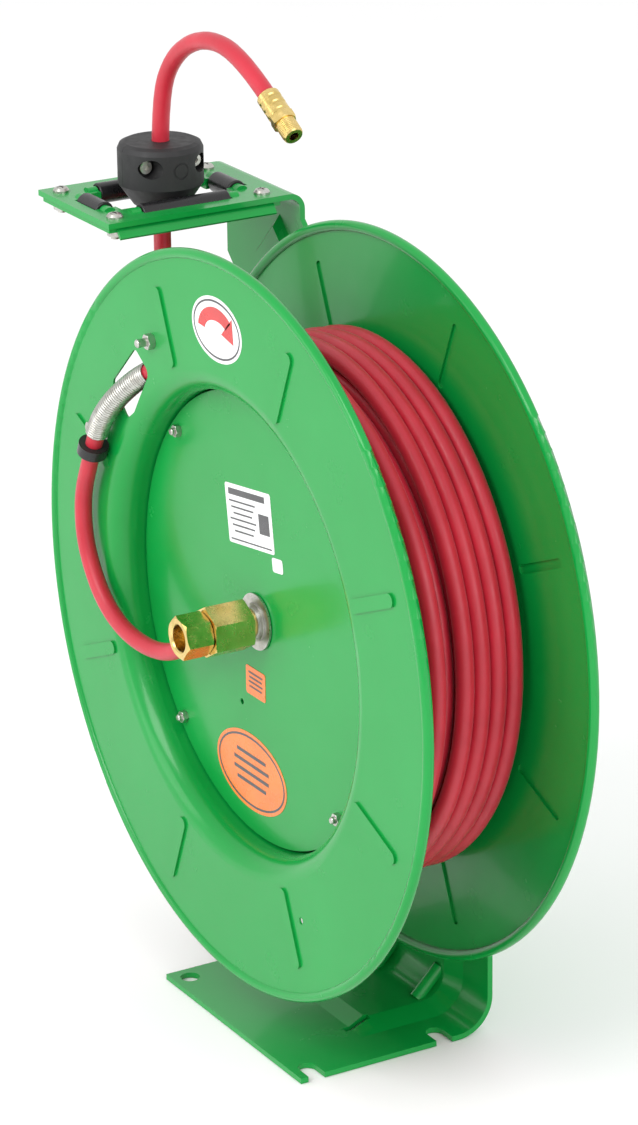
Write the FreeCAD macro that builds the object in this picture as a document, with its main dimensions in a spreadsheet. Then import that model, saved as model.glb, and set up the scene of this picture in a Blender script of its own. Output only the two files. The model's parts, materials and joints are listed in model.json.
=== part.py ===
import FreeCAD, Part
import math
import os
import Sketcher

# Spring rewind hose reel on a single pedestal, in millimetres.
# World frame: origin on the underside of the base, midway between its four fixing places;
# +Z up, the axle runs along +Y from the inlet swivel to the post, +X across the drum.
# Depths along the axle are counted from the front face of the front flange.

Vector = FreeCAD.Vector
Rotation = FreeCAD.Rotation
Placement = FreeCAD.Placement

DIMENSIONS = {
    "AxleHeight": 302.0,
    "FrontY": -61.0,
    "FlangeRadius": 260.0,
    "FlangeSpan": 128.0,
    "SheetThick": 1.5,
    "BeadRadius": 3.75,
    "RollRadius": 15.0,
    "BarrelRadius": 163.0,
    "RibCount": 8.0,
    "CoverRadius": 160.0,
    "CoverDepth": 23.6,
    "CoverBoltCircle": 151.0,
    "CaseRadius": 119.5,
    "AxleRadius": 11.0,
    "AxleFlangeRadius": 42.0,
    "AxleBoltCircle": 30.0,
    "HubRadius": 19.0,
    "DrumBoltCircle": 46.0,
    "RatchetRadius": 38.0,
    "HoseDiameter": 12.5,
    "OuterTurnRadius": 183.5,
    "TopTurnDepth": 53.5,
    "PlateThick": 4.0,
    "BaseHalfWidth": 96.5,
    "BaseFrontY": -64.0,
    "PostRearY": 91.0,
    "BendRadius": 27.5,
    "FixingX": 83.5,
    "FixingY": 51.5,
    "FixingHoleRadius": 7.0,
    "GuideX": -211.0,
    "GuideY": 9.0,
    "GuideTop": 547.8,
    "ChannelRise": 6.0,
    "AxleFlangeStart": 141.0,
    "RollerPinRadius": 2.5,
    "RollerRadius": 7.5,
    "LongRollerReach": 32.5,
    "ShortRollerReach": 52.7,
    "LongRollerLength": 69.0,
    "ShortRollerLength": 29.0,
    "StopperRadius": 30.5,
    "InletHexWidth": 27.0,
    "SwivelHexWidth": 32.0,
    "InletBoreRadius": 9.4,
}


class Size:
    """A length with the spreadsheet expression that it comes from."""

    def __init__(self, value, text):
        self.value = value
        self.text = text

    def joined(self, other, sign, value):
        return Size(value, f"({self.text} {sign} {size_of(other).text})")

    def __add__(self, other):
        return self.joined(other, "+", self.value + size_of(other).value)

    def __sub__(self, other):
        return self.joined(other, "-", self.value - size_of(other).value)

    def __mul__(self, other):
        return self.joined(other, "*", self.value * size_of(other).value)

    def __truediv__(self, other):
        return self.joined(other, "/", self.value / size_of(other).value)

    def __neg__(self):
        return Size(-self.value, f"(0 - {self.text})")


def size_of(number):
    return number if isinstance(number, Size) else Size(float(number), repr(float(number)))


def val(number):
    return number.value if isinstance(number, Size) else float(number)


doc = FreeCAD.newDocument("HoseReel")
sheet = doc.addObject("Spreadsheet::Sheet", "Dims")
for row, (alias, number) in enumerate(DIMENSIONS.items(), start=1):
    sheet.set(f"A{row}", alias)
    sheet.set(f"B{row}", str(number))
    sheet.setAlias(f"B{row}", alias)
doc.recompute()
S = {alias: Size(float(sheet.get(alias)), f"Dims.{alias}") for alias in DIMENSIONS}
D = {alias: size.value for alias, size in S.items()}
nodes = []

AXLE_TURN = Rotation(Vector(1, 0, 0), -90)
POST_FRONT = D["PostRearY"] - D["FrontY"] - D["PlateThick"]
POST_REAR = D["PostRearY"] - D["FrontY"]
ARM_REAR = POST_REAR + D["PlateThick"]


def on_axle(depth=0.0):
    """Local Z becomes +Y, local X stays +X and local Y becomes -Z, about the axle."""
    return Placement(Vector(0, D["FrontY"] + depth, D["AxleHeight"]), AXLE_TURN)


def spot(radius, angle, depth=0.0):
    """A point in the axle frame, with the angle counted from +X towards +Z."""
    turn = math.radians(angle)
    return Vector(radius * math.cos(turn), -radius * math.sin(turn), depth)


# ------------------------------------------------ sketches and features bound to the sheet

def new_body(name, placement):
    body = doc.addObject("PartDesign::Body", name)
    body.Label = name
    body.Placement = placement
    nodes.append(body)
    return body


def origin_feature(body, role):
    return next(item for item in body.Origin.OriginFeatures if item.Role == role)


def new_sketch(body, name, role, lift=0.0):
    sketch = body.newObject("Sketcher::SketchObject", name)
    sketch.AttachmentSupport = (origin_feature(body, role), [""])
    sketch.MapMode = "FlatFace"
    sketch.AttachmentOffset = Placement(Vector(0, 0, val(lift)), Rotation())
    if isinstance(lift, Size):
        sketch.setExpression("AttachmentOffset.Base.z", lift.text + " * 1mm")
    return sketch


def bind(sketch, index, size):
    if isinstance(size, Size):
        sketch.setExpression(f"Constraints[{index}]", size.text + " * 1mm")


def hold(sketch, item, end, place):
    """Holds one point of a sketch at its two distances from the sketch's origin."""
    for kind, size in (("DistanceX", place[0]), ("DistanceY", place[1])):
        index = sketch.addConstraint(Sketcher.Constraint(kind, -1, 1, item, end, val(size)))
        bind(sketch, index, size)


def add_outline(sketch, corners):
    """A closed outline of (x, y) corners, or (x, y, radius) where the corner is rounded."""
    count = len(corners)
    points = [Vector(val(corner[0]), val(corner[1]), 0) for corner in corners]
    arrive = list(points)
    leave = list(points)
    arcs = {}
    for i, corner in enumerate(corners):
        if len(corner) == 3:
            back = (points[i - 1] - points[i]).normalize()
            ahead = (points[(i + 1) % count] - points[i]).normalize()
            half = back.getAngle(ahead) / 2
            radius = val(corner[2])
            arrive[i] = points[i] + back * (radius / math.tan(half))
            leave[i] = points[i] + ahead * (radius / math.tan(half))
            centre = points[i] + (back + ahead).normalize() * (radius / math.sin(half))
            arcs[i] = (centre, radius, back.cross(ahead).z < 0)
    first = sketch.GeometryCount
    for i in range(count):
        sketch.addGeometry(Part.LineSegment(leave[i], arrive[(i + 1) % count]), False)
    for i, corner in enumerate(corners):
        line_in = first + (i - 1) % count
        line_out = first + i
        if i not in arcs:
            sketch.addConstraint(Sketcher.Constraint("Coincident", line_in, 2, line_out, 1))
            hold(sketch, line_out, 1, corner)
            continue
        centre, radius, left_turn = arcs[i]
        begin, end = (arrive[i], leave[i]) if left_turn else (leave[i], arrive[i])
        circle = Part.Circle(centre, Vector(0, 0, 1), radius)
        angles = [math.atan2(p.y - centre.y, p.x - centre.x) for p in (begin, end)]
        arc = sketch.addGeometry(Part.ArcOfCircle(circle, angles[0], angles[1]), False)
        near, far = (1, 2) if left_turn else (2, 1)
        sketch.addConstraint(Sketcher.Constraint("Tangent", line_in, 2, arc, near))
        sketch.addConstraint(Sketcher.Constraint("Tangent", line_out, 1, arc, far))
        index = sketch.addConstraint(Sketcher.Constraint("Radius", arc, radius))
        bind(sketch, index, corner[2])
        mark = sketch.addGeometry(Part.Point(points[i]), True)
        sketch.addConstraint(Sketcher.Constraint("PointOnObject", mark, 1, line_in))
        sketch.addConstraint(Sketcher.Constraint("PointOnObject", mark, 1, line_out))
        hold(sketch, mark, 1, corner)


def add_circle(sketch, place, radius):
    centre = Vector(val(place[0]), val(place[1]), 0)
    item = sketch.addGeometry(Part.Circle(centre, Vector(0, 0, 1), val(radius)), False)
    hold(sketch, item, 3, place)
    index = sketch.addConstraint(Sketcher.Constraint("Radius", item, val(radius)))
    bind(sketch, index, radius)


def add_shapes(sketch, outline, circles):
    if outline:
        add_outline(sketch, outline)
    for place, radius in circles:
        add_circle(sketch, place, radius)


def revolve(body, name, outline=None, circles=()):
    """Turns a profile of (radius, depth) points about the body's Z axis."""
    sketch = new_sketch(body, name + "Sketch", "XZ_Plane")
    add_shapes(sketch, outline, circles)
    feature = body.newObject("PartDesign::Revolution", name)
    feature.Profile = sketch
    feature.ReferenceAxis = (sketch, ["V_Axis"])
    feature.Angle = 360
    doc.recompute()
    return feature


def turned(name, corners, placement=None):
    """A turned piece, on the axle unless a placement is given."""
    body = new_body(name, placement or on_axle())
    revolve(body, name + "Turn", corners)
    return body


def tube_profile(inner, outer, start, end):
    return [(inner, start), (outer, start), (outer, end), (inner, end)]


def pad(body, name, length, lift=0.0, outline=None, circles=(), reverse=False):
    sketch = new_sketch(body, name + "Sketch", "XY_Plane", lift)
    add_shapes(sketch, outline, circles)
    feature = body.newObject("PartDesign::Pad", name)
    feature.Profile = sketch
    feature.Length = val(length)
    feature.Reversed = reverse
    if isinstance(length, Size):
        feature.setExpression("Length", length.text + " * 1mm")
    doc.recompute()
    return feature


def cut(body, name, outline=None, circles=(), lift=0.0, length=None, reverse=False):
    """A pocket right through, or of a given length towards local -Z (+Z when reversed)."""
    before = body.Shape.Volume
    sketch = new_sketch(body, name + "Sketch", "XY_Plane", lift)
    add_shapes(sketch, outline, circles)
    feature = body.newObject("PartDesign::Pocket", name)
    feature.Profile = sketch
    if length is None:
        feature.Type = 1
        feature.Midplane = True
    else:
        feature.Length = length
        feature.Reversed = reverse
    doc.recompute()
    if body.Shape.Volume >= before - 1e-6:
        raise RuntimeError(name + " cuts nothing")
    return feature


def repeat_round(body, name, features, count):
    pattern = body.newObject("PartDesign::PolarPattern", name)
    pattern.Originals = features
    pattern.Axis = (origin_feature(body, "Z_Axis"), [""])
    pattern.Angle = 360
    pattern.Occurrences = int(count)
    body.Tip = pattern
    doc.recompute()


def shape_node(name, shape, placement=None):
    """A node whose shape is made directly, set before its placement."""
    item = doc.addObject("Part::Feature", name)
    item.Label = name
    item.Shape = shape
    item.Placement = (placement or Placement()) * shape.Placement
    nodes.append(item)


def long_outline(centre, length, width, angle, rounding):
    """A rectangle with rounded corners, its length turned by an angle in its plane."""
    turn = math.radians(angle)
    along = Vector(math.cos(turn), math.sin(turn), 0)
    across = Vector(-math.sin(turn), math.cos(turn), 0)
    corners = []
    for i, j in ((-1, -1), (1, -1), (1, 1), (-1, 1)):
        point = centre + along * (i * length / 2) + across * (j * width / 2)
        corners.append((point.x, point.y, rounding))
    return corners


# ------------------------------------------------------------------- plain shape helpers

def hexagon(width, height, base=Vector(0, 0, 0), turn=0.0, bevel=0.12):
    """A hexagonal prism measured across its flats, with its corners turned off at both ends."""
    corner = width / math.sqrt(3)
    ring = []
    for i in range(7):
        angle = math.radians(60 * i + turn)
        ring.append(base + Vector(corner * math.cos(angle), corner * math.sin(angle), 0))
    prism = Part.Face(Part.makePolygon(ring)).extrude(Vector(0, 0, height))
    start = corner * (1 - bevel)
    rise = (corner - start) * 0.58
    lathe = turned_solid([(0, 0), (start, 0), (corner + 0.01, rise),
                          (corner + 0.01, height - rise), (start, height), (0, height)])
    lathe.translate(base)
    return prism.common(lathe)


def cylinder(radius, height, base=Vector(0, 0, 0), axis=Vector(0, 0, 1)):
    return Part.makeCylinder(radius, height, base, axis)


def turned_solid(points):
    """A solid of revolution about local Z from (radius, height) points."""
    wire = Part.makePolygon([Vector(r, 0, z) for r, z in points + points[:1]])
    return Part.Face(wire).revolve(Vector(0, 0, 0), Vector(0, 0, 1), 360)


def ring_solid(radius, section, height):
    """A ring whose round section is drawn with eight sides."""
    angles = [math.pi * (i + 0.5) / 4 for i in range(8)]
    return turned_solid([(radius + section * math.cos(angle), height + section * math.sin(angle))
                         for angle in angles])


def hex_bolt(radius, length, head_width, head_height):
    """A hexagon bolt on local Z: head below 0, shank from 0 up with a bevelled tip."""
    shank = turned_solid([(0, 0), (radius, 0), (radius, length - 0.8),
                          (radius - 0.8, length), (0, length)])
    return hexagon(head_width, head_height, Vector(0, 0, -head_height)).fuse(shank)


def hex_nut(radius, width, height):
    """A hexagon nut on local Z, from 0 up."""
    return hexagon(width, height).cut(cylinder(radius, height + 2, Vector(0, 0, -1)))


def placed(shape, base, axis=Vector(0, 0, 1)):
    copy = shape.copy()
    copy.Placement = Placement(base, Rotation(Vector(0, 0, 1), axis))
    return copy


def group(shapes):
    return Part.makeCompound(shapes)


def prism(points, push):
    """A straight prism from a list of points, which it closes."""
    return Part.Face(Part.makePolygon(points + points[:1])).extrude(push)


def routed(points, lead_in=None):
    """A wire of straight runs joined by tangent arcs, each as large as its two runs allow."""
    edges = [lead_in] if lead_in else []
    here = points[0]
    radii = []
    for before, point, after in zip(points, points[1:], points[2:]):
        back = before - point
        ahead = after - point
        half = back.getAngle(ahead) / 2
        reach = 0.45 * min(back.Length, ahead.Length)
        radius = reach * math.tan(half)
        inward = (back.normalize() + ahead.normalize()).normalize()
        middle = point + inward * (radius / math.sin(half) - radius)
        enter = point + back * reach
        leave = point + ahead * reach
        edges.append(Part.LineSegment(here, enter).toShape())
        edges.append(Part.Arc(enter, middle, leave).toShape())
        radii.append(round(radius))
        here = leave
    edges.append(Part.LineSegment(here, points[-1]).toShape())
    return Part.Wire(edges), radii


def swept(wire, radius, start, direction):
    ring = Part.Wire(Part.makeCircle(radius, start, direction))
    return wire.makePipeShell([ring], True, False)


def hose_tube(name, points, lead_in=None):
    """The hose's own solid along a route, with its bend radii and volume reported."""
    wire, radii = routed(points, lead_in)
    radius = D["HoseDiameter"] / 2
    first = lead_in or wire.Edges[0]
    start = first.valueAt(first.FirstParameter)
    direction = first.tangentAt(first.FirstParameter)
    tube = swept(wire, radius, start, direction)
    expected = math.pi * radius ** 2 * wire.Length
    print(f"{name}: length {wire.Length:.0f} mm, radii {radii}, "
          f"volume {tube.Volume / expected:.4f} of section x length")
    shape_node(name, tube)
    return wire


# --------------------------------------------------------------------- stand: base and arm

def plate_section(x, rise):
    """The bent plate's section at one x, lifted by rise where the stiffening channel runs."""
    thick = D["PlateThick"]
    rear = D["PostRearY"]
    bend = D["BendRadius"]
    top = D["AxleHeight"] + 90
    ramp_start, ramp_end = 4, 16
    fade_start, fade_end = D["AxleHeight"] - 102, D["AxleHeight"] - 90
    centre_y = rear - bend
    slant = math.sqrt(0.5)
    edges = []

    def line(*stops):
        for a, b in zip(stops, stops[1:]):
            edges.append(Part.LineSegment(Vector(x, *a), Vector(x, *b)).toShape())

    def corner(radius, first, last):
        middle = (centre_y + radius * slant, bend - radius * slant)
        edges.append(Part.Arc(Vector(x, *first), Vector(x, *middle), Vector(x, *last)).toShape())

    outer = bend - rise
    inner = bend - rise - thick
    line((D["BaseFrontY"], 0), (ramp_start, 0), (ramp_end, rise), (centre_y, rise))
    corner(outer, (centre_y, rise), (rear - rise, bend))
    line((rear - rise, bend), (rear - rise, fade_start), (rear, fade_end), (rear, top),
         (rear - thick, top), (rear - thick, fade_end), (rear - thick - rise, fade_start),
         (rear - thick - rise, bend))
    corner(inner, (centre_y, rise + thick), (rear - thick - rise, bend))
    line((centre_y, rise + thick), (ramp_end, rise + thick), (ramp_start, thick),
         (D["BaseFrontY"], thick), (D["BaseFrontY"], 0))
    return Part.Wire(Part.__sortEdges__(edges))


def post_hole(radius, x, height):
    base = Vector(x, D["PostRearY"] - 40, D["AxleHeight"] + height)
    return cylinder(radius, 60, base, Vector(0, 1, 0))


ARM_BOLTS = [(-78.6, 21.4), (-30.6, 69.4), (-58.6, 1.4), (-10.6, 49.4)]
PAWL_PIVOT = (-36.7, 52.4)


def make_base_post():
    half = D["BaseHalfWidth"]
    foot, crown = 64, 48
    stations = [(-half, 0), (-foot, 0), (-crown, D["ChannelRise"]), (crown, D["ChannelRise"]),
                (foot, 0), (half, 0)]
    strips = [Part.makeLoft([plate_section(*a), plate_section(*b)], True, True)
              for a, b in zip(stations, stations[1:])]
    plate = strips[0].multiFuse(strips[1:]).removeSplitter()
    shoulder = D["AxleHeight"] + 30
    top = D["AxleHeight"] + 90
    front = [Vector(-half, -70, -1), Vector(half, -70, -1), Vector(half, -70, shoulder),
             Vector(55, -70, top), Vector(-55, -70, top), Vector(-half, -70, shoulder)]
    plate = plate.common(prism(front, Vector(0, 200, 0)))
    for x in (-18, 40):
        plate = plate.fuse(cylinder(5, 28, Vector(x, D["PostRearY"] - 28, 9), Vector(0, 1, 1)))
    for y in (-D["FixingY"], D["FixingY"]):
        plate = plate.cut(cylinder(D["FixingHoleRadius"], 20, Vector(-D["FixingX"], y, -5)))
        slot = cylinder(6.5, 20, Vector(D["FixingX"], y, -5))
        slot = slot.fuse(Part.makeBox(30, 13, 20, Vector(D["FixingX"], y - 6.5, -5)))
        plate = plate.cut(slot)
    plate = plate.cut(Part.makeBox(5, 20, 20, Vector(45.5, -1, -5)))
    plate = plate.cut(post_hole(D["AxleRadius"] + 0.2, 0, 0))
    for angle in (0, 90, 180, 270):
        at = spot(D["AxleBoltCircle"], angle)
        plate = plate.cut(post_hole(4.2, at.x, -at.y))
    for x, height in ARM_BOLTS:
        plate = plate.cut(post_hole(4.2, x, height))
    plate = plate.cut(post_hole(3.0, *PAWL_PIVOT))
    shape_node("base_post", plate)


WINDOW_STEPS = ((41, 35.2), (24, 44.4), (15.2, 61))


def guide_box(half_x, half_y, low, high):
    """A box about the guide's centre, between two heights."""
    base = Vector(D["GuideX"] - half_x, D["GuideY"] - half_y, low)
    return Part.makeBox(2 * half_x, 2 * half_y, high - low, base)


def guide_window(low, high):
    boxes = [guide_box(x, y, low, high) for x, y in WINDOW_STEPS]
    return boxes[0].multiFuse(boxes[1:])


def roller_pins(radius, extra):
    """One rod for each roller, through the roller and past both of its ends."""
    height = ROLLER_HEIGHT
    rods = []
    for side in (-1, 1):
        reach = D["LongRollerLength"] / 2 + extra
        start = Vector(D["GuideX"] + side * D["LongRollerReach"], D["GuideY"] - reach, height)
        rods.append(cylinder(radius, 2 * reach, start, Vector(0, 1, 0)))
    for side in (-1, 1):
        reach = D["ShortRollerLength"] / 2 + extra
        start = Vector(D["GuideX"] - reach, D["GuideY"] + side * D["ShortRollerReach"], height)
        rods.append(cylinder(radius, 2 * reach, start, Vector(1, 0, 0)))
    return rods


def guide_screw_places():
    return [Vector(D["GuideX"] + i * 40.5, D["GuideY"] + j * 58.5, 0)
            for i in (-1, 1) for j in (-1, 1)]


def make_guide_arm():
    thick = D["PlateThick"]
    top = D["GuideTop"]
    rear = ARM_REAR + D["FrontY"]
    bend = 12
    left, right = D["GuideX"] - 53.5, D["GuideX"] + 53.5
    start = Vector(left, D["FrontY"], top)
    slant = math.sqrt(0.5)

    def arc(radius, a, b):
        middle = Vector(left, rear - bend + radius * slant, top - bend + radius * slant)
        return Part.Arc(a, middle, b).toShape()

    def line(a, b):
        return Part.LineSegment(a, b).toShape()

    def at(y, z):
        return Vector(left, y, z)

    foot = D["AxleHeight"] - 22
    edges = [line(start, at(rear - bend, top)),
             arc(bend, at(rear - bend, top), at(rear, top - bend)),
             line(at(rear, top - bend), at(rear, foot)),
             line(at(rear, foot), at(rear - thick, foot)),
             line(at(rear - thick, foot), at(rear - thick, top - bend)),
             arc(bend - thick, at(rear - thick, top - bend), at(rear - bend, top - thick)),
             line(at(rear - bend, top - thick), at(start.y, top - thick)),
             line(at(start.y, top - thick), start)]
    angle_plate = Part.Face(Part.Wire(edges)).extrude(Vector(290, 0, 0))

    axle = D["AxleHeight"]
    outline = [(left, top + 1), (left, axle + 177.5), (-66, axle - 21), (11.85, axle + 56.85),
               (right, axle + 68.7 - right), (right, top + 1)]
    mask = prism([Vector(x, D["FrontY"] - 1, z) for x, z in outline], Vector(0, 200, 0))
    arm = angle_plate.common(mask)

    def pan(depth):
        """A shallow pressed pan along the arm, given by its two corners along and across it."""
        wires = []
        for inset, y in ((0, rear - thick + depth), (6, rear - thick - 6 + depth)):
            across = (-21 + inset, 26 - inset)
            along = (112 + inset, 290 - inset)
            ring = [(across[0], along[0]), (across[1], along[0]), (across[1], along[1]),
                    (across[0], along[1])]
            points = [Vector((u - v) * slant, y, axle + (u + v) * slant) for u, v in ring]
            wires.append(Part.makePolygon(points + points[:1]))
        return Part.makeLoft(wires, True, True)

    arm = arm.fuse(pan(0)).cut(pan(thick))
    saddles = [rod.common(guide_box(60, 75, top - thick, top + 20))
               for rod in roller_pins(5.5, 8)]
    arm = arm.multiFuse(saddles).cut(guide_window(top - 20, top + 20))
    for rod in roller_pins(2.6, 8.2):
        arm = arm.cut(rod)
    for place in guide_screw_places():
        arm = arm.cut(cylinder(3.2, 40, place + Vector(0, 0, top - 20)))
    for x, height in ARM_BOLTS:
        arm = arm.cut(post_hole(4.2, x, height))
    shape_node("guide_arm", arm)


def make_lower_roller_plate():
    top = D["GuideTop"] - D["PlateThick"]
    plate = guide_box(50, 68, top - 3.8, top)
    edge = D["GuideX"] + 49.9
    section = [(edge, top), (edge + 6, top - 7), (edge + 4.5, top - 8.5), (edge, top - 3.8)]
    ring = [Vector(x, D["GuideY"] - 62, z) for x, z in section]
    plate = plate.fuse(prism(ring, Vector(0, 124, 0)))
    plate = plate.cut(guide_window(top - 20, top + 20))
    for rod in roller_pins(2.6, 8.2):
        plate = plate.cut(rod)
    for place in guide_screw_places():
        plate = plate.cut(cylinder(3.2, 40, place + Vector(0, 0, top - 20)))
    shape_node("lower_roller_plate", plate)


def make_guide_screws():
    top = D["GuideTop"]
    length = D["PlateThick"] + 3.8 + 7
    screws, nuts = [], []
    for place in guide_screw_places():
        head = turned_solid([(0, 0), (5.8, 0), (5.8, 1.4), (4.6, 3), (2.6, 3.8), (0, 3.8)])
        slot_a = Part.makeBox(6.4, 1.2, 3, Vector(-3.2, -0.6, 2.2))
        slot_b = Part.makeBox(1.2, 6.4, 3, Vector(-0.6, -3.2, 2.2))
        screw = head.cut(slot_a).cut(slot_b).fuse(cylinder(2.9, length, Vector(0, 0, -length)))
        screws.append(placed(screw, place + Vector(0, 0, top)))
        under = top - D["PlateThick"] - 3.8 - 5
        nuts.append(placed(hex_nut(2.95, 10, 5), place + Vector(0, 0, under)))
    shape_node("guide_screws", group(screws))
    shape_node("guide_nuts", group(nuts))


def make_rollers():
    places = {"roller_left": (-D["LongRollerReach"], 0, "LongRollerLength", Vector(0, 1, 0)),
              "roller_right": (D["LongRollerReach"], 0, "LongRollerLength", Vector(0, 1, 0)),
              "roller_front": (0, -D["ShortRollerReach"], "ShortRollerLength", Vector(1, 0, 0)),
              "roller_rear": (0, D["ShortRollerReach"], "ShortRollerLength", Vector(1, 0, 0))}
    for name, (x, y, alias, axis) in places.items():
        centre = Vector(D["GuideX"] + x, D["GuideY"] + y, ROLLER_HEIGHT)
        half = S[alias] / 2
        radius = S["RollerRadius"]
        turned(name, [(2.56, -half), (radius, -half, 1), (radius, half, 1), (2.56, half)],
               Placement(centre, Rotation(Vector(0, 0, 1), axis)))
    shape_node("roller_pins", group(roller_pins(D["RollerPinRadius"], 8)))


def make_plate_bolts():
    """The axle flange's and the arm's bolts through the post, with their nuts behind."""
    circle = [spot(D["AxleBoltCircle"], angle) for angle in (0, 90, 180, 270)]
    sets = {"axle_bolts": (circle, D["AxleFlangeStart"], POST_REAR),
            "arm_bolts": ([Vector(x, -z, 0) for x, z in ARM_BOLTS], POST_FRONT, ARM_REAR)}
    nuts = []
    for name, (places, front, rear) in sets.items():
        bolt = hex_bolt(4, rear - front + 8, 13, 5.3)
        shape_node(name, group([placed(bolt, at + Vector(0, 0, front)) for at in places]),
                   on_axle())
        nuts += [placed(hex_nut(4.05, 13, 6.5), at + Vector(0, 0, rear)) for at in places]
    shape_node("post_nuts", group(nuts), on_axle())


# ------------------------------------------------------------------------ stand: the axle

def make_axle():
    radius = S["AxleRadius"]
    groove = 10.0
    turned("main_axle", [(0, 36), (8, 36), (8, 18), (radius, 18, 0.8), (radius, 20.15),
                         (groove, 20.15), (groove, 21.45), (radius, 21.45),
                         (radius, 162, 1.2), (0, 162)])
    body = new_body("axle_flange", on_axle())
    bolts = [(spot(D["AxleBoltCircle"], angle), 4.2) for angle in (0, 90, 180, 270)]
    thick = POST_FRONT - D["AxleFlangeStart"]
    pad(body, "AxleFlangePlate", thick, S["AxleFlangeStart"],
        circles=[((0, 0), S["AxleFlangeRadius"]), ((0, 0), radius)])
    cut(body, "AxleFlangeHoles", circles=bolts)
    turned("axle_spacer", tube_profile(radius + 0.05, 14.0, 120.4, S["AxleFlangeStart"]))
    turned("thrust_washer", tube_profile(radius + 0.2, 20.0, 21.5, 22.9))
    ring = cylinder(13.5, 1.2, Vector(0, 0, 20.2)).cut(cylinder(10.05, 3, Vector(0, 0, 19)))
    gap = prism([Vector(0, 0, 19), spot(30, 118, 19), spot(30, 152, 19)], Vector(0, 0, 4))
    shape_node("retaining_ring", ring.cut(gap), on_axle())
    sleeve = tube_profile(radius, 20.0, 28.0, 60.0)
    arbor = turned("spring_arbor", sleeve)
    slot = [(-1.2, 12), (1.2, 12), (1.2, 24), (-1.2, 24)]
    cut(arbor, "ArborSlot", slot, lift=56.0, length=28.0)


def make_swivel():
    bore = D["InletBoreRadius"]
    journal = 8.0
    stem = hexagon(D["InletHexWidth"], 20.1, Vector(0, 0, -38), 12)
    stem = stem.fuse(turned_solid([(0, -18), (journal, -18), (journal, 18), (7.95, 18),
                                   (7.95, 35), (0, 35)]))
    stem = stem.cut(turned_solid([(0, -39), (bore + 1, -39), (bore + 1, -38), (bore, -37),
                                  (bore, -21), (4, -19), (4, 2), (0, 2)]))
    for angle in (30, 120, 210, 300):
        direction = spot(1, angle)
        stem = stem.cut(cylinder(2.2, 12, Vector(0, 0, SWIVEL_PORT_DEPTH), direction))
    shape_node("swivel_stem", stem, on_axle())
    turned("swivel_spacer", tube_profile(8.05, 9.7, 13.2, 18.0))

    block = hexagon(D["SwivelHexWidth"], 30.3, Vector(0, 0, -17.5), 30, 0.06)
    block = block.cut(turned_solid([(0, -18), (8.06, -18), (8.06, -12.2), (9.75, -12.2),
                                    (9.75, -10.2), (8.06, -10.2), (8.06, -6), (11, -5),
                                    (11, 0.2), (8.06, 1.2), (8.06, 5.4), (9.75, 5.4),
                                    (9.75, 7.4), (8.06, 7.4), (8.06, 13), (0, 13)]))
    port = spot(1, FEED_ANGLE)
    block = block.cut(cylinder(6, 12, port * 9 + Vector(0, 0, SWIVEL_PORT_DEPTH), port))
    shape_node("swivel_body", block, on_axle())
    rings = [ring_solid(8.92, 0.8, depth) for depth in (-11.2, 6.4)]
    shape_node("swivel_seals", group(rings), on_axle())

    face = D["SwivelHexWidth"] / 2
    fitting = turned_solid([(3.2, 0), (5.95, 0), (5.95, face - 10), (7.2, face - 9.6),
                            (7.2, face - 8), (3.2, face - 8)])
    fitting = hexagon(17, 8, Vector(0, 0, face - 9.4)).cut(cylinder(3.2, 60)).fuse(fitting)
    fitting = fitting.fuse(turned_solid([(3.2, face - 3), (6.1, face - 3), (6.1, face + 6),
                                         (3.2, face + 6)]))
    start = port * 10 + Vector(0, 0, SWIVEL_PORT_DEPTH)
    shape_node("feed_fitting", placed(fitting, start, port), on_axle())
    sleeve = turned_solid([(6.3, face + 0.6), (8.2, face + 0.6), (8.2, FEED_FERRULE_END - 10),
                           (6.3, FEED_FERRULE_END - 10)])
    shape_node("feed_ferrule", placed(sleeve, start, port), on_axle())


# ---------------------------------------------------------------------- stand: the ratchet

def make_pawl():
    x, height = PAWL_PIVOT
    place = Placement(Vector(x, D["FrontY"] + 108, D["AxleHeight"] + height),
                      AXLE_TURN * Rotation(Vector(0, 0, 1), 18.1))
    body = new_body("pawl", place)
    outline = [(-7, -7, 6.9), (9, -7, 3), (36.5, -2, 0.4), (38.2, 0), (37.5, 2), (10, 7, 4),
               (-7, 7, 6.9)]
    flipped = [(corner[0], -corner[1], *corner[2:]) for corner in reversed(outline)]
    pad(body, "PawlArm", 4, outline=flipped, circles=[((0, 0), 3.06)])
    pivot = Vector(x, -height, 0)
    pin = turned_solid([(0, 103), (5, 103), (6, 104), (6, 107.6), (3, 107.6), (3, 112.4),
                        (5, 112.4), (5, POST_FRONT), (2.95, POST_FRONT), (2.95, POST_REAR),
                        (0, POST_REAR)])
    shape_node("pawl_pin", placed(pin, pivot), on_axle())
    coils = [ring_solid(6.2, 0.62, 1.1 * i) for i in range(6)]
    spring = coils[0].multiFuse(coils[1:])
    shape_node("pawl_spring", placed(spring, pivot + Vector(0, 0, 114)), on_axle())


# --------------------------------------------------------------------- drum: the two discs

def flange_profile(face, side):
    """Half section of a spun disc: side is +1 where the hose lies at greater depths."""
    thick = S["SheetThick"]
    roll = S["RollRadius"]
    barrel = S["BarrelRadius"]
    middle = S["FlangeSpan"] / 2
    edge = S["FlangeRadius"] - S["BeadRadius"] - 2.2
    inner = face + thick if side > 0 else face - thick
    floor = middle - thick if side > 0 else middle + thick
    outer_wall = barrel - thick
    return [(20.2, floor), (outer_wall, floor, 6.5), (outer_wall, face, roll + thick),
            (edge, face), (edge, inner), (barrel, inner, roll), (barrel, middle, 8.0),
            (20.2, middle)]


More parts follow.
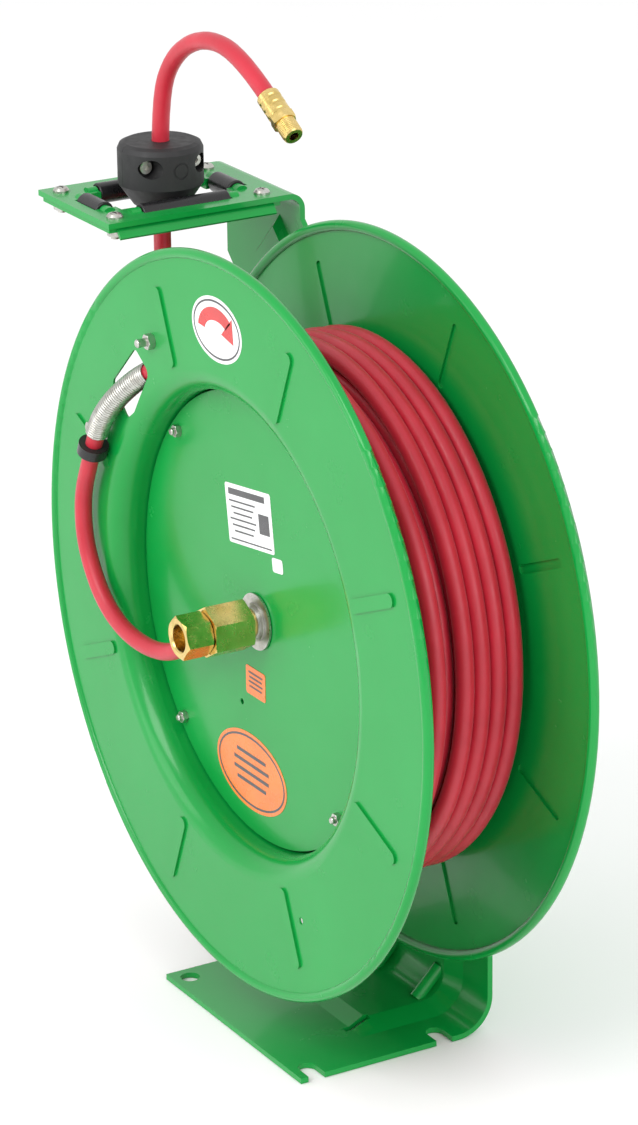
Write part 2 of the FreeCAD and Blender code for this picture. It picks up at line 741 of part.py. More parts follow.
def make_disc(name, front):
    face = S["SheetThick"] * 0 if front else S["FlangeSpan"]
    side = 1 if front else -1
    thick = S["SheetThick"]
    body = new_body(name, on_axle())
    revolve(body, name + "_disc", flange_profile(face, side))
    bead_depth = face + thick if front else face - thick
    ring_centre = S["FlangeRadius"] - S["BeadRadius"]
    revolve(body, name + "_bead", circles=[((ring_centre, bead_depth), S["BeadRadius"])])
    at = spot(208, 22.5)
    rise = 1.6
    rib = long_outline(at, 56, 9.5, -22.5, 4.6)
    hollow = long_outline(at, 53, 6.5, -22.5, 3.1)
    outside = face - rise * side
    ridge = pad(body, name + "_rib", rise + 0.7, outside, rib, reverse=not front)
    trough = cut(body, name + "_trough", hollow, lift=face + thick * side,
                 length=rise, reverse=not front)
    repeat_round(body, name + "_ribs", [ridge, trough], D["RibCount"])
    bolts = [(spot(D["DrumBoltCircle"], 60 * i), 4.2) for i in range(6)]
    cut(body, name + "_holes", circles=bolts)
    return body


def make_front_disc():
    body = make_disc("front_flange", True)
    way = [(207, 126.8, 5), (207, 140.6, 5), (177, 141.2, 4), (174.3, 137.4, 4),
           (184.6, 124.2, 6)]
    window = [(spot(r, angle).x, spot(r, angle).y, rounding) for r, angle, rounding in way]
    cut(body, "HoseWindow", window)
    cut(body, "FlangeHoles", circles=[(FLANGE_STUD, 3.1), (CLAMP_BOLT, 2.7),
                                      (Vector(94.5, 181, 0), 2.5)])


def make_cover():
    start = S["CoverDepth"]
    thick = S["SheetThick"]
    body = new_body("spring_cover", on_axle())
    bolts = [(spot(D["CoverBoltCircle"], 45 + 90 * i), 2.7) for i in range(4)]
    pad(body, "CoverPlate", thick, start,
        circles=[((0, 0), S["CoverRadius"]), ((0, 0), 15.1)])
    cut(body, "CoverHoles", circles=bolts + [((-24, 67), 2.2)])
    lip = start + thick
    wall = S["CaseRadius"]
    floor = S["FlangeSpan"] / 2 - thick
    case = turned("spring_case", [(21, floor - thick), (wall - thick, floor - thick, 3),
                                  (wall - thick, lip), (158, lip), (158, lip + thick),
                                  (wall, lip + thick, 2), (wall, floor, 4.5), (21, floor)])
    cut(case, "LipHoles", circles=bolts, lift=40.0, length=20)
    drum_bolts = [(spot(D["DrumBoltCircle"], 60 * i), 4.2) for i in range(6)]
    cut(case, "FloorHoles", circles=drum_bolts)


def make_mainspring():
    """A flat strip wound as half circles whose radius grows by half a step each time."""
    turns = 9
    strip = 0.8
    first, last = 24.0, D["CaseRadius"] - D["SheetThick"] - 3.0
    growth = (last - first) / (2 * turns)
    low, high = 29.0, 55.0

    edges = []
    ends = []
    for extra in (0, strip):
        here = None
        for i in range(2 * turns):
            side = 1 if i % 2 == 0 else -1
            reach = first + growth * i / 2 + extra
            far = first + growth * (i + 1) / 2 + extra
            begin = here or Vector(side * reach, 0, low)
            end = Vector(-side * far, 0, low)
            centre_x = (begin.x + end.x) / 2
            radius = abs(begin.x - end.x) / 2
            middle = Vector(centre_x, side * radius, low)
            edges.append(Part.Arc(begin, middle, end).toShape())
            if here is None:
                ends.append(begin)
            here = end
        ends.append(here)
    edges.append(Part.LineSegment(ends[0], ends[2]).toShape())
    edges.append(Part.LineSegment(ends[1], ends[3]).toShape())
    outline = Part.Wire(Part.__sortEdges__(edges))
    strip_solid = Part.Face(outline).extrude(Vector(0, 0, high - low))
    shape_node("mainspring", strip_solid, on_axle())


def make_hub():
    plate_start = S["FlangeSpan"] / 2 + S["SheetThick"]
    tube_end = 118.0
    hub = turned("drum_hub", [(15, plate_start), (58, plate_start), (58, plate_start + 3.5),
                              (S["HubRadius"], plate_start + 3.5, 3),
                              (S["HubRadius"], tube_end), (15, tube_end)])
    bolts = [(spot(D["DrumBoltCircle"], 60 * i), 4.2) for i in range(6)]
    cut(hub, "HubHoles", circles=bolts, lift=80.0, length=20)
    bore = S["AxleRadius"] + 0.06
    turned("front_bushing", [(bore, 23), (15, 23), (15, 25.1), (20, 25.1), (20, 27.1),
                             (bore, 27.1)])
    turned("rear_bushing", [(bore, 98), (15, 98), (15, tube_end), (19, tube_end), (19, 120),
                            (bore, 120)])
    turned("middle_bushing", tube_profile(bore, 15, plate_start, 82))

    wheel = new_body("ratchet_wheel", on_axle())
    teeth = []
    for i in range(8):
        for radius in (31, D["RatchetRadius"]):
            at = spot(radius, 93 + 45 * i)
            teeth.append((at.x, at.y))
    pad(wheel, "RatchetPlate", 4, 108.0, teeth, [((0, 0), S["HubRadius"])])


def make_drum_fasteners():
    case_floor = D["FlangeSpan"] / 2 - 2 * D["SheetThick"]
    hub_face = D["FlangeSpan"] / 2 + D["SheetThick"] + 3.5
    bolts, nuts = [], []
    for i in range(6):
        at = spot(D["DrumBoltCircle"], 60 * i)
        bolts.append(placed(hex_bolt(4, 15, 13, 4), at + Vector(0, 0, case_floor)))
        nuts.append(placed(hex_nut(4.05, 13, 4), at + Vector(0, 0, hub_face)))
    shape_node("drum_bolts", group(bolts), on_axle())
    shape_node("drum_nuts", group(nuts), on_axle())

    lip = D["CoverDepth"] + 2 * D["SheetThick"]
    forward = Vector(0, 0, -1)
    bolts, nuts = [], []
    for i in range(4):
        at = spot(D["CoverBoltCircle"], 45 + 90 * i)
        bolts.append(placed(hex_bolt(2.5, 10, 8, 3.5), at + Vector(0, 0, lip), forward))
        nuts.append(placed(hex_nut(2.55, 8, 4), at + Vector(0, 0, D["CoverDepth"]), forward))
    behind_disc = CLAMP_BOLT + Vector(0, 0, D["SheetThick"])
    nuts.append(placed(hex_nut(2.55, 8, 4), behind_disc))
    shape_node("cover_bolts", group(bolts), on_axle())
    shape_node("small_nuts", group(nuts), on_axle())

    inside = D["SheetThick"]
    stud = placed(hex_bolt(3, 14, 10, 2.6), FLANGE_STUD + Vector(0, 0, inside), forward)
    stud_nut = placed(hex_nut(3.05, 10, 5), FLANGE_STUD, forward)
    shape_node("flange_stud", stud, on_axle())
    shape_node("flange_stud_nut", stud_nut, on_axle())


# ---------------------------------------------------------------- drum: the hose and clamp

def world(x, height, depth):
    return Vector(x, D["FrontY"] + depth, D["AxleHeight"] + height)


FEED_ROUTE = [(-62, -35.8, -2.4), (-84, -45.5, -4), (-110, -48.5, -6), (-139, -44.5, -8),
              (-164, -31.5, -9), (-181.5, -12, -9), (-191, 8, -9), (-192.5, 28, -9.2),
              (-188.5, 47, -9.8), (-177.5, 67, -10.8), (-164, 96.5, -10.8),
              (-152, 113.5, -9.8), (-138, 130.5, -4.6), (-118, 149, 5.4), (-92, 159.5, 10.5)]


def make_hose():
    port = spot(1, FEED_ANGLE)
    exit_at = world(port.x * FEED_FERRULE_END, -port.y * FEED_FERRULE_END, SWIVEL_PORT_DEPTH)
    hose_tube("feed_hose", [exit_at] + [world(*point) for point in FEED_ROUTE])

    body = new_body("hose_coil", on_axle())
    low, high = 4.2, 123.8
    revolve(body, "CoilTurn", [(163.5, low, 12.3), (176.5, low), (176.5, 66), (190, 66),
                               (190, high), (163.5, high, 12.3)])

    radius = D["OuterTurnRadius"]
    leave = 187.4 + 7
    loop = [spot(radius, leave + 338 - turn, D["TopTurnDepth"]) for turn in (0, 169, 338)]
    loop = [on_axle().multVec(point) for point in loop]
    lead_in = Part.Arc(*loop).toShape()
    start = loop[2]
    turn = math.radians(leave)
    heading = Vector(math.sin(turn), 0, -math.cos(turn))
    corner = start + heading * (radius * math.tan(math.radians(3.5)))
    route = [start, corner] + [Vector(*point) for point in LEAD_ROUTE]
    hose_tube("hose_lead", route, lead_in)


def make_clamp():
    centre = Vector(-170.75, -81.75, -10.8)
    along = Vector(13.5, -29.5, 0).normalize()
    out = Vector(along.y, -along.x, 0)
    if out.x > 0:
        out = out * -1
    half = 4
    foot = centre - along * half

    def ring(inner, outer):
        solid = cylinder(outer, 2 * half, foot, along)
        return solid.cut(cylinder(inner, 2 * half + 2, foot - along, along))

    shape_node("clamp_cushion", ring(6.25, 10), on_axle())
    bolt_at = Vector(CLAMP_BOLT.x, CLAMP_BOLT.y, 0)
    tab_start = Vector(centre.x, centre.y, -1.6) + out * 4
    reach = (bolt_at - tab_start).dot(out) + 5
    tab = prism([tab_start - along * half, tab_start + along * half,
                 tab_start + along * half + out * reach,
                 tab_start - along * half + out * reach], Vector(0, 0, 1.6))
    tab = tab.cut(cylinder(10, 30, foot - along * 5, along))
    band = ring(10, 10.8).fuse(tab).cut(cylinder(2.7, 6, bolt_at - Vector(0, 0, 3)))
    shape_node("clamp_band", band, on_axle())
    top = bolt_at - Vector(0, 0, 1.6)
    bolt = placed(hex_bolt(2.5, 7.5, 8, 3.5), top)
    shape_node("clamp_bolt", bolt, on_axle())


def make_spring_guard():
    """The wire guard's envelope round the hose, from the clamp to the disc's window."""
    points = [world(*point) for point in FEED_ROUTE[10:14]]
    start = points[0] + (points[1] - points[0]) * 0.02
    wire, radii = routed([start] + points[1:-1] + [points[-1]])
    heading = points[1] - start
    shell = swept(wire, 8.3, start, heading).cut(swept(wire, 6.3, start, heading))
    shape_node("spring_guard", shell)


# -------------------------------------------------------------------- stopper and fittings

def make_stopper():
    foot = D["GuideTop"] - 6.6
    top = foot + 44.8
    outer = D["StopperRadius"]
    whole = turned_solid([(6.35, 0), (20, 0), (outer, 15), (outer, 39.8), (outer - 1.6, 43.3),
                          (outer - 5, 44.8), (6.35, 44.8)])
    whole = placed(whole, Vector(D["GuideX"], D["GuideY"], foot))
    screw_height = top - 14
    screw_reach, seat = 19.5, 11
    for side in (-1, 1):
        y = D["GuideY"] + side * screw_reach
        start = Vector(D["GuideX"] - 40, y, screw_height)
        whole = whole.cut(cylinder(2.6, 80, start, Vector(1, 0, 0)))
        for end in (-1, 1):
            mouth = Vector(D["GuideX"] + end * seat, y, screw_height)
            whole = whole.cut(cylinder(6.8, 25, mouth, Vector(end, 0, 0)))
    for end in (-1, 1):
        mark = Vector(D["GuideX"] + end * (outer - 0.8), D["GuideY"], screw_height - 2)
        ring = cylinder(6, 5, mark, Vector(end, 0, 0)).cut(cylinder(4.6, 5, mark, Vector(end, 0, 0)))
        whole = whole.cut(ring)
    halves = {"stopper_half_left": -1, "stopper_half_right": 1}
    for name, side in halves.items():
        corner = Vector(D["GuideX"] + (0.1 if side > 0 else -40.1), D["GuideY"] - 40, foot - 5)
        half = whole.common(Part.makeBox(40, 80, 60, corner))
        shape_node(name, half)
    screws, nuts = [], []
    for side in (-1, 1):
        at = Vector(D["GuideX"] + seat, D["GuideY"] + side * screw_reach, screw_height)
        head = turned_solid([(0, 0), (4.6, 0), (4.6, 4), (2.3, 4), (2.3, 1.8), (0, 1.8)])
        screw = head.fuse(cylinder(2.5, 2 * seat + 5, Vector(0, 0, -2 * seat - 5)))
        screws.append(placed(screw, at + Vector(0.02, 0, 0), Vector(1, 0, 0)))
        behind = at - Vector(2 * seat + 0.02, 0, 0)
        nuts.append(placed(hex_nut(2.55, 8, 3.5), behind, Vector(-1, 0, 0)))
    shape_node("stopper_screws", group(screws))
    shape_node("stopper_nuts", group(nuts))


def make_hose_end():
    end = Vector(*LEAD_ROUTE[-1])
    heading = (end - Vector(*LEAD_ROUTE[-2])).normalize()
    profile = [(6.3, -6), (7.4, -6)]
    for start in (-5.2, 1.4, 8):
        profile += [(8.2, start), (8.2, start + 3.8), (7.5, start + 4.6), (7.5, start + 5.8)]
    sleeve = turned_solid(profile + [(6.3, 13.8)])
    shape_node("hose_ferrule", placed(sleeve, end, heading))
    fitting = turned_solid([(3.4, 0.2), (6.1, 0.2), (6.1, 14.2), (6.9, 14.2), (6.9, 33),
                            (6.2, 34), (3.4, 34)])
    fitting = fitting.fuse(hexagon(15.5, 7, Vector(0, 0, 14.2), 20).cut(cylinder(3.4, 60)))
    shape_node("hose_fitting", placed(fitting, end, heading))


# --------------------------------------------------------------------------- plain labels

def label(centre, size, angle, depth, oval=False):
    thick = 0.3
    if oval:
        edge = Part.Ellipse(Vector(0, 0, 0), size[0] / 2, size[1] / 2).toShape()
        face = Part.Face(Part.Wire(edge))
    else:
        face = Part.makePlane(size[0], size[1], Vector(-size[0] / 2, -size[1] / 2, 0))
    shape = face.extrude(Vector(0, 0, thick))
    if not oval:
        shape = shape.makeFillet(2, [edge for edge in shape.Edges
                                     if abs(edge.tangentAt(edge.FirstParameter).z) > 0.9])
    shape.Placement = Placement(Vector(centre[0], -centre[1], depth - thick),
                                Rotation(Vector(0, 0, 1), -angle))
    return shape


def make_labels():
    cover = D["CoverDepth"]
    plates = [label((-8.4, 72), (62.5, 42), 8, cover), label((29, 49), (14, 10), 8, cover)]
    shape_node("arrow_label", label((-6, 209.5), (67.5, 44.5), 0, 0.0, True), on_axle())
    shape_node("data_labels", group(plates), on_axle())
    orange = [label((-4, -47), (26.6, 20.8), 0, cover),
              label((-12, -115.6), (97, 57), 0, cover, True)]
    shape_node("orange_labels", group(orange), on_axle())


# --------------------------------------------------------------------------- the whole reel

ROLLER_HEIGHT = D["GuideTop"] - 3.2
SWIVEL_PORT_DEPTH = -2.4
FEED_ANGLE = 210
FEED_FERRULE_END = 50
FLANGE_STUD = Vector(-98.3, -177.5, 0)
CLAMP_BOLT = Vector(-189.1, -90.4, 0)
LEAD_ROUTE = [(-211, 9, 502), (-211, 9, 616), (-186.5, 9, 653.7), (-140.8, 9, 674.1),
              (-91.1, 9, 670.5), (-51, 9, 646.9)]

make_base_post()
make_guide_arm()
make_lower_roller_plate()
make_guide_screws()
make_rollers()
make_plate_bolts()
make_axle()
make_swivel()
make_pawl()
make_front_disc()
make_disc("rear_flange", False)
make_cover()
make_mainspring()
make_hub()
make_drum_fasteners()
make_hose()
make_clamp()
make_spring_guard()
make_stopper()
make_hose_end()
make_labels()

doc.recompute()
for item in doc.Objects:
    if {"Invalid", "Error"} & set(item.State):
        raise RuntimeError(f"{item.Name} failed: {item.State}")
for node in nodes:
    if node.Shape.isNull() or not node.Shape.isValid():
        raise RuntimeError(f"{node.Label} has no valid shape")

os.makedirs("parts", exist_ok=True)
for node in nodes:
    node.Shape.exportStep(f"parts/{node.Label}.step")
print(f"{len(nodes)} nodes written")
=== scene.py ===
import json
import math

import bpy
from mathutils import Matrix, Vector


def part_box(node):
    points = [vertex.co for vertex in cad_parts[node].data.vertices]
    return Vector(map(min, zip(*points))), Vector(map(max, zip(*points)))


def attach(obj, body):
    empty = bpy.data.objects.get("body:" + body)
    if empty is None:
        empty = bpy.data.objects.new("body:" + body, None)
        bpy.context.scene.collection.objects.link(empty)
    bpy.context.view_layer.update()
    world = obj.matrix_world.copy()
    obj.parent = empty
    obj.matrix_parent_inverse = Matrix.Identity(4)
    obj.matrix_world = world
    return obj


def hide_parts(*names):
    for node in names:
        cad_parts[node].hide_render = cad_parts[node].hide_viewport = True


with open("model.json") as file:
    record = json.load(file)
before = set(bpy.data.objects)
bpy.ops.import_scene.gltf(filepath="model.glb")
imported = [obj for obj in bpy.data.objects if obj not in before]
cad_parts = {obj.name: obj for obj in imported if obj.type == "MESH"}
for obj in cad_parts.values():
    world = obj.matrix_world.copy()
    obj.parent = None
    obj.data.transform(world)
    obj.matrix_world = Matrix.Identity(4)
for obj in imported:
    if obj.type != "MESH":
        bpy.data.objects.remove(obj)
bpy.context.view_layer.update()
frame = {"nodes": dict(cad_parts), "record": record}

# ------------------------------------------------------------------ places from the frame

axle_z = (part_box("main_axle")[0][2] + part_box("main_axle")[1][2]) / 2
face_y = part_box("arrow_label")[1][1]
front_centre = Vector((0, face_y, axle_z))
disc_radius = 0.260
hose_diameter = 0.0125


def on_reel(x, height, depth):
    """A point from its distances across, above and behind the front disc's centre, in mm."""
    return Vector((x / 1000, face_y + depth / 1000, axle_z + height / 1000))


def on_turn(radius, angle, depth):
    """A point on a turn of the hose; the angle is counted from +X towards +Z."""
    turn = math.radians(angle)
    return on_reel(radius * math.cos(turn), radius * math.sin(turn), depth)


# ---------------------------------------------------------------------------- the camera

def add_camera():
    azimuth, elevation, roll = (math.radians(a) for a in (59.875, 20.249, -0.7235))
    distance, shift_x, shift_z = 11.1905, 0.2387, 0.1704
    back = Vector((math.sin(azimuth) * math.cos(elevation),
                   -math.cos(azimuth) * math.cos(elevation), math.sin(elevation)))
    right = Vector((math.cos(azimuth), math.sin(azimuth), 0))
    up = back.cross(right)
    rolled_right = right * math.cos(roll) + up * math.sin(roll)
    rolled_up = up * math.cos(roll) - right * math.sin(roll)
    camera = bpy.data.objects.new("camera", bpy.data.cameras.new("camera"))
    bpy.context.scene.collection.objects.link(camera)
    camera.data.lens = 137.4
    camera.data.sensor_width = 36
    place = front_centre + disc_radius * (rolled_right * shift_x + rolled_up * shift_z
                                          + back * distance)
    turn = Matrix((rolled_right, rolled_up, back)).transposed().to_4x4()
    camera.matrix_world = Matrix.Translation(place) @ turn
    bpy.context.scene.camera = camera


# ---------------------------------------------------------------------------- materials

class Nodes:
    """A material's node tree, with short calls for the nodes that the materials share."""

    def __init__(self, name):
        self.material = bpy.data.materials.new(name)
        self.material.use_nodes = True
        self.tree = self.material.node_tree
        self.shader = self.tree.nodes["Principled BSDF"]
        self.place = self.tree.nodes.new("ShaderNodeTexCoord").outputs["Object"]

    def add(self, kind, inputs=(), **settings):
        node = self.tree.nodes.new(kind)
        for key, value in settings.items():
            setattr(node, key, value)
        for key, value in dict(inputs).items():
            if isinstance(value, bpy.types.NodeSocket):
                self.tree.links.new(value, node.inputs[key])
            else:
                node.inputs[key].default_value = value
        return node

    def noise(self, scale, detail=4.0, roughness=0.55, stretch=None):
        place = self.place
        if stretch:
            place = self.add("ShaderNodeMapping", {"Vector": place, "Scale": stretch}).outputs[0]
        return self.add("ShaderNodeTexNoise", {"Vector": place, "Scale": scale, "Detail": detail,
                                               "Roughness": roughness}).outputs["Fac"]

    def ramp(self, factor, *stops):
        node = self.add("ShaderNodeValToRGB", {"Fac": factor})
        ramp = node.color_ramp
        while len(ramp.elements) < len(stops):
            ramp.elements.new(0.5)
        for element, (position, colour) in zip(ramp.elements, stops):
            element.position = position
            element.color = (*colour, 1) if isinstance(colour, tuple) else (colour,) * 3 + (1,)
        return node.outputs["Color"]

    def mix(self, factor, first, second, blend="MIX"):
        node = self.add("ShaderNodeMix", data_type="RGBA", blend_type=blend)
        for index, value in ((0, factor), (6, first), (7, second)):
            if isinstance(value, bpy.types.NodeSocket):
                self.tree.links.new(value, node.inputs[index])
            else:
                node.inputs[index].default_value = value if index == 0 else (*value, 1)
        return node.outputs[2]

    def bump(self, *layers):
        """Bumps from (height, strength, distance) layers, one upon another."""
        normal = None
        for height, strength, distance in layers:
            inputs = {"Height": height, "Strength": strength, "Distance": distance}
            if normal:
                inputs["Normal"] = normal
            normal = self.add("ShaderNodeBump", inputs).outputs[0]
        self.tree.links.new(normal, self.shader.inputs["Normal"])

    def set(self, **inputs):
        for key, value in inputs.items():
            socket = self.shader.inputs[key.replace("_", " ")]
            if isinstance(value, bpy.types.NodeSocket):
                self.tree.links.new(value, socket)
            else:
                socket.default_value = value
        return self


def green_paint():
    n = Nodes("green_paint")
    tone = n.ramp(n.noise(7), (0.3, (0.002, 0.265, 0.040)), (0.7, (0.004, 0.30, 0.050)))
    n.set(Base_Color=tone, Roughness=n.ramp(n.noise(30), (0.3, 0.2), (0.7, 0.28)),
          Coat_Weight=0.15, Coat_Roughness=0.06, Specular_IOR_Level=0.32)
    n.bump((n.noise(14, 2), 0.04, 0.001))
    return n.material


def zinc_steel():
    n = Nodes("zinc_steel")
    tone = n.ramp(n.noise(160, 6), (0.3, (0.42, 0.41, 0.37)), (0.7, (0.62, 0.62, 0.59)))
    n.set(Base_Color=tone, Metallic=1.0, Roughness=n.ramp(n.noise(300), (0.3, 0.25), (0.7, 0.42)))
    n.bump((n.noise(2200, 3), 0.15, 0.0001))
    return n.material


def spring_steel():
    n = Nodes("spring_steel")
    tone = n.ramp(n.noise(90), (0.3, (0.10, 0.12, 0.16)), (0.7, (0.22, 0.22, 0.24)))
    n.set(Base_Color=tone, Metallic=1.0, Roughness=n.ramp(n.noise(80), (0.3, 0.3), (0.7, 0.45)))
    n.bump((n.noise(1200, 3), 0.1, 0.0001))
    return n.material


def brass(name, dark, light):
    n = Nodes(name)
    tone = n.ramp(n.noise(110, 6), (0.3, dark), (0.68, light))
    lines = n.noise(500, 2, 0.5, (1, 14, 1))
    n.set(Base_Color=tone, Metallic=1.0, Roughness=n.ramp(n.noise(220), (0.3, 0.18), (0.7, 0.3)))
    n.bump((lines, 0.18, 0.0001), (n.noise(1500, 3), 0.06, 0.0001))
    return n.material


def dark_plastic(name, tone, roughness, grain):
    n = Nodes(name)
    colour = n.ramp(n.noise(70, 6), (0.3, tone), (0.75, tuple(c * 1.25 for c in tone)))
    n.set(Base_Color=colour,
          Roughness=n.ramp(n.noise(140), (0.3, roughness - 0.08), (0.7, roughness + 0.08)))
    n.bump((n.noise(grain, 3), 0.1, 0.0002))
    return n.material


def red_hose():
    n = Nodes("red_hose")
    tone = n.ramp(n.noise(24, 5), (0.3, (0.44, 0.009, 0.026)), (0.7, (0.54, 0.014, 0.036)))
    scuffs = n.ramp(n.noise(210, 8, 0.7), (0.62, 0.0), (0.8, 0.4))
    colour = n.mix(scuffs, tone, (0.5, 0.06, 0.08))
    n.set(Base_Color=colour, Roughness=n.ramp(n.noise(90), (0.3, 0.34), (0.7, 0.5)),
          Subsurface_Weight=0.04, Sheen_Weight=0.08)
    n.bump((n.noise(1400, 3), 0.16, 0.0002), (n.noise(260, 2), 0.08, 0.0004))
    return n.material


def label_film(name, tone, shade):
    n = Nodes(name)
    colour = n.ramp(n.noise(35, 5), (0.3, shade), (0.65, tone))
    n.set(Base_Color=colour, Roughness=n.ramp(n.noise(60), (0.3, 0.2), (0.7, 0.34)),
          Coat_Weight=0.3)
    n.bump((n.noise(700, 3), 0.05, 0.0002))
    return n.material


MATERIALS = {
    "green_paint": green_paint(),
    "zinc_steel": zinc_steel(),
    "spring_steel": spring_steel(),
    "brass": brass("brass", (0.62, 0.45, 0.14), (0.82, 0.62, 0.25)),
    "bronze": brass("bronze", (0.34, 0.17, 0.06), (0.55, 0.31, 0.12)),
    "black_plastic": dark_plastic("black_plastic", (0.009, 0.009, 0.010), 0.3, 1800),
    "black_rubber": dark_plastic("black_rubber", (0.010, 0.010, 0.011), 0.58, 1100),
    "red_hose": red_hose(),
    "white_label": label_film("white_label", (0.83, 0.84, 0.84), (0.72, 0.74, 0.74)),
    "orange_label": label_film("orange_label", (0.86, 0.20, 0.02), (0.74, 0.15, 0.015)),
}
RED_INK = label_film("red_ink", (0.62, 0.03, 0.03), (0.5, 0.02, 0.02))
DARK_INK = label_film("dark_ink", (0.05, 0.05, 0.055), (0.03, 0.03, 0.032))


def paint_nodes():
    for part in frame["record"]["subparts"]:
        node = frame["nodes"][part["node"]]
        finish = MATERIALS[part["material_slot"]]
        if not node.data.materials:
            node.data.materials.append(finish)
        for slot in node.material_slots:
            slot.material = finish


# --------------------------------------------------------------------------- the hose

FEED_ROUTE = [(-62, -35.8, -2.4), (-84, -45.5, -4), (-110, -48.5, -6), (-139, -44.5, -8),
              (-164, -31.5, -9), (-181.5, -12, -9), (-191, 8, -9), (-192.5, 28, -9.2),
              (-188.5, 47, -9.8), (-177.5, 67, -10.8), (-164, 96.5, -10.8),
              (-152, 113.5, -9.8), (-138, 130.5, -4.6), (-118, 149, 5.4), (-92, 159.5, 10.5)]
LEAD_ROUTE = [(-211, 200, 70), (-211, 314, 70), (-186.5, 351.7, 70), (-140.8, 372.1, 70),
              (-91.1, 368.5, 70), (-51, 344.9, 70)]
INNER_LAYER, OUTER_LAYER = 169.5, 183.5     # radii of the two layers of hose on the drum, mm
INNER_PITCH, OUTER_PITCH = 12.9, 12.55      # spacing of the turns in each layer, mm
LEAD_DEPTH = 53.5                           # depth of the top turn that feeds the guide, mm
SWIVEL_PORT_DEPTH = -2.4
FERRULE_END = 50                            # from the axle to the end of the feed ferrule, mm
POINTS_PER_TURN = 16
STEP = 360 / POINTS_PER_TURN
# Control points stand this much outside a turn for the curve to follow its true radius.
OUTSIDE = 1 / math.cos(math.pi / POINTS_PER_TURN)


def spline_curve(name, points, thickness, kind="NURBS"):
    curve = bpy.data.curves.new(name, "CURVE")
    curve.dimensions = "3D"
    spline = curve.splines.new(kind)
    spline.points.add(len(points) - 1)
    for control, point in zip(spline.points, points):
        control.co = (*point, 1)
    if kind == "NURBS":
        spline.order_u = 3
        spline.use_endpoint_u = True
        spline.resolution_u = 6
    curve.bevel_depth = thickness / 2
    curve.bevel_resolution = 5
    curve.use_fill_caps = True
    piece = bpy.data.objects.new(name, curve)
    bpy.context.scene.collection.objects.link(piece)
    return piece


def line_of(piece):
    """The points that a curve's spline passes through, read with no thickness."""
    thickness = piece.data.bevel_depth
    piece.data.bevel_depth = 0
    bpy.context.view_layer.update()
    shape = piece.evaluated_get(bpy.context.evaluated_depsgraph_get())
    mesh = bpy.data.meshes.new_from_object(shape)
    points = [vertex.co.copy() for vertex in mesh.vertices]
    bpy.data.meshes.remove(mesh)
    piece.data.bevel_depth = thickness
    return points


def length_of(points):
    return sum((b - a).length for a, b in zip(points, points[1:]))


def wound_points():
    """Two layers of turns: out to the rear disc, then back over them, ending tucked under."""
    points = []
    angle = 105.0
    depth = 12.5
    for radius in (177, 173, 171):
        points.append(on_turn(radius * OUTSIDE, angle, depth))
        angle -= STEP
        depth += 0.7
    while depth < 113.3:
        points.append(on_turn(INNER_LAYER * OUTSIDE, angle, depth))
        angle -= STEP
        depth += INNER_PITCH / POINTS_PER_TURN
    for radius in (174, 180):
        points.append(on_turn(radius * OUTSIDE, angle, 114))
        angle -= STEP
    depth = 116
    while depth > 71:
        points.append(on_turn(OUTER_LAYER * OUTSIDE, angle, depth))
        angle -= STEP
        depth -= OUTER_PITCH / POINTS_PER_TURN
    for radius in (180, 174, 170):
        points.append(on_turn(radius * OUTSIDE, angle, depth))
        angle -= STEP
    return points


def add_drum_hose(exit_at):
    points = [exit_at] + [on_reel(*point) for point in FEED_ROUTE] + wound_points()
    hose = spline_curve("drum_hose", points, hose_diameter)
    hose.data.materials.append(MATERIALS["red_hose"])
    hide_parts("feed_hose", "hose_coil")
    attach(hose, "drum")
    length_of(line_of(hose))
    return hose


def add_lead_hose():
    """The top turn, which leaves the drum, passes the guide and ends in the fitting."""
    leave = 187.4 + 7
    points = [on_turn(170, leave + 338 + STEP, LEAD_DEPTH),
              on_turn(176, leave + 338, LEAD_DEPTH)]
    for i in range(1, 15):
        points.append(on_turn(OUTER_LAYER * OUTSIDE, leave + 338 - STEP * i, LEAD_DEPTH))
    corner = OUTER_LAYER / math.cos(math.radians(3.5))
    points.append(on_turn(corner, leave - 3.5, LEAD_DEPTH))
    points += [on_reel(*point) for point in LEAD_ROUTE]
    hose = spline_curve("lead_hose", points, hose_diameter)
    hose.data.materials.append(MATERIALS["red_hose"])
    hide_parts("hose_lead")
    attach(hose, "stand")
    length_of(line_of(hose))


def helix(line, radius, pitch, steps=12):
    """Points winding round a line of points at an even pitch."""
    places = [line[0]]
    for point in line[1:]:
        gap = point - places[-1]
        while gap.length > pitch / steps:
            places.append(places[-1] + gap.normalized() * (pitch / steps))
            gap = point - places[-1]
    side = (places[1] - places[0]).orthogonal().normalized()
    points = []
    for i, (here, ahead) in enumerate(zip(places, places[1:])):
        along = (ahead - here).normalized()
        side = (side - along * side.dot(along)).normalized()
        turn = 2 * math.pi * i / steps
        points.append(here + (side * math.cos(turn) + along.cross(side) * math.sin(turn)) * radius)
    return points


def add_spring_guard(hose):
    start = Vector((-0.164, face_y - 0.0108, axle_z + 0.0945))
    line = line_of(hose)
    near = min(range(len(line)), key=lambda i: (line[i] - start).length)
    stop = near
    while length_of(line[near:stop + 1]) < 0.078:
        stop += 1
    guard = spline_curve("guard_wire", helix(line[near:stop], 0.0073, 0.0021), 0.002, "POLY")
    guard.data.bevel_resolution = 2
    guard.data.materials.append(MATERIALS["zinc_steel"])
    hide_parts("spring_guard")
    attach(guard, "drum")


def add_threads():
    """The pipe thread at the free end of the hose."""
    ends = [on_reel(*LEAD_ROUTE[-1]), on_reel(*LEAD_ROUTE[-2])]
    heading = (ends[0] - ends[1]).normalized()
    line = [ends[0] + heading * (0.0218 + 0.0005 * i) for i in range(22)]
    thread = spline_curve("outlet_thread", helix(line, 0.0068, 0.00141, 20), 0.0009, "POLY")
    thread.data.materials.append(MATERIALS["brass"])
    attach(thread, "stand")


# -------------------------------------------------------------------------- label marks

